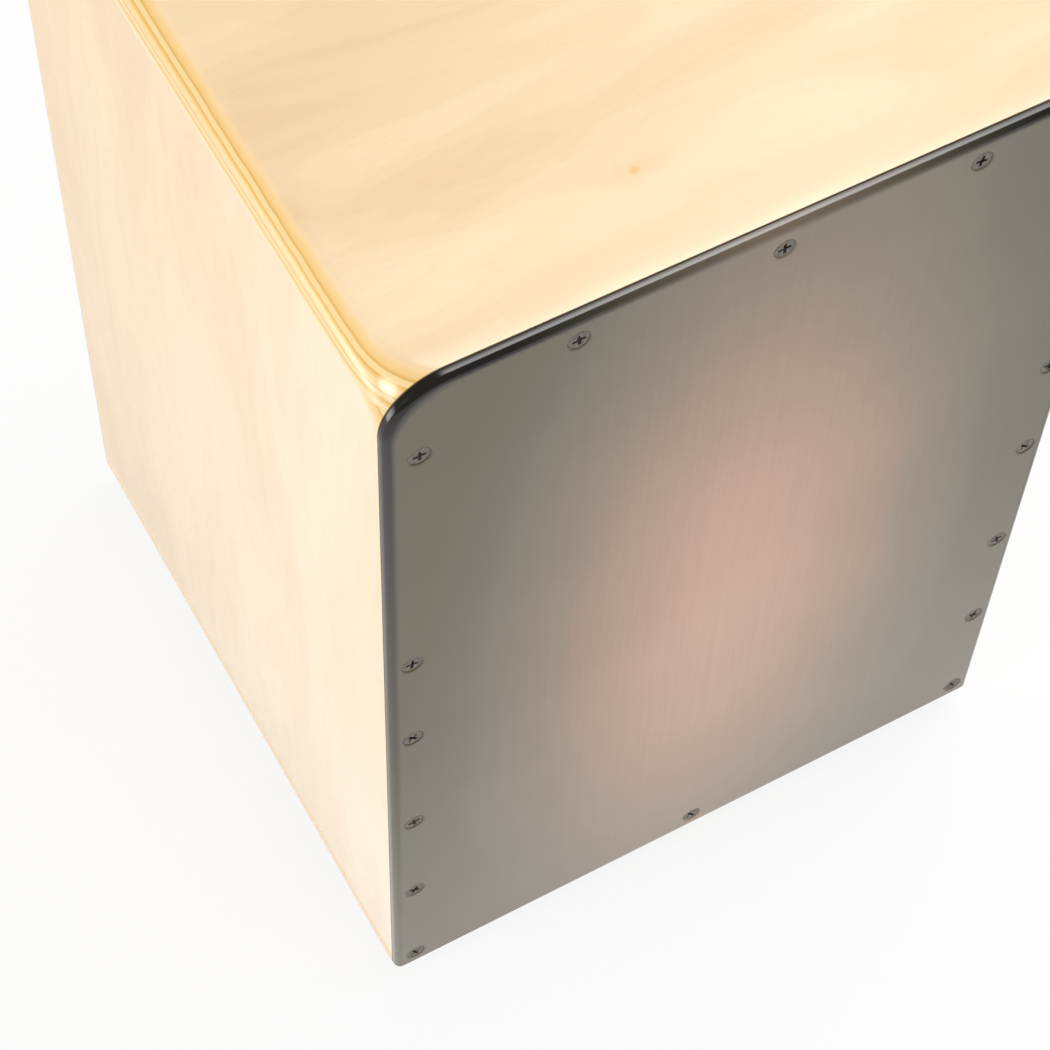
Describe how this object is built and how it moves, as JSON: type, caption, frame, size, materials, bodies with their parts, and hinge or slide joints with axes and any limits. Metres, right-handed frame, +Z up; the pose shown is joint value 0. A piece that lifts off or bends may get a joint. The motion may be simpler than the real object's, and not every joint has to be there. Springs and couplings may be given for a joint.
{
  "type": "cajon",
  "caption": "Box-shaped hand drum with a screwed front plate, a rounded plywood seat, a sound hole in its back and snare wires on a turning bar inside.",
  "frame": {"origin": "on the floor, under the middle of the box", "axes": "+Z up, the front plate faces -Y, +X to the right as the front is seen"},
  "size_m": [0.3, 0.3, 0.462],
  "materials": {
    "birch_plywood": "birch plywood under glossy clear lacquer",
    "front_veneer": "grey stained veneer, paler brown towards the middle, satin lacquer, black rim",
    "strip_wood": "sawn and planed softwood, unfinished",
    "beech": "turned and planed beech, unfinished",
    "screw_steel": "nickel-plated steel",
    "snare_steel": "coiled steel wire",
    "foot_rubber": "moulded black rubber"
  },
  "bodies": {
    "box": {"top_panel": "birch_plywood", "bottom_panel": "birch_plywood", "left_side_panel": "birch_plywood", "right_side_panel": "birch_plywood", "back_panel": "birch_plywood", "front_plate": "front_veneer", "front_strip_top": "strip_wood", "front_strip_bottom": "strip_wood", "front_strip_left": "strip_wood", "front_strip_right": "strip_wood", "back_strip_top": "strip_wood", "back_strip_bottom": "strip_wood", "back_strip_left": "strip_wood", "back_strip_right": "strip_wood", "panel_dowels": "beech", "plate_screws": "screw_steel", "bar_block_left": "beech", "bar_block_right": "beech", "bar_block_screws": "screw_steel", "foot_front_left": "foot_rubber", "foot_front_right": "foot_rubber", "foot_back_left": "foot_rubber", "foot_back_right": "foot_rubber", "foot_washers": "screw_steel", "foot_screws": "screw_steel"},
    "snare": {"snare_bar": "beech", "snare_wires_left": "snare_steel", "snare_wires_right": "snare_steel", "snare_wire_screws": "screw_steel"},
    "left_corner_screw": {"corner_screw_left": "screw_steel"},
    "right_corner_screw": {"corner_screw_right": "screw_steel"}
  },
  "joints": [
    {"name": "snare_turn", "type": "hinge", "parent": "box", "child": "snare", "pos_m": [0, -0.107, 0.287], "axis": [-1, 0, 0], "range_deg": [0, 40]},
    {"name": "left_corner_turn", "type": "hinge", "parent": "box", "child": "left_corner_screw", "pos_m": [-0.1364, -0.14, 0.422], "axis": [0, -1, 0], "range_deg": [0, 360]},
    {"name": "right_corner_turn", "type": "hinge", "parent": "box", "child": "right_corner_screw", "pos_m": [0.1364, -0.14, 0.422], "axis": [0, -1, 0], "range_deg": [0, 360]}
  ]
}
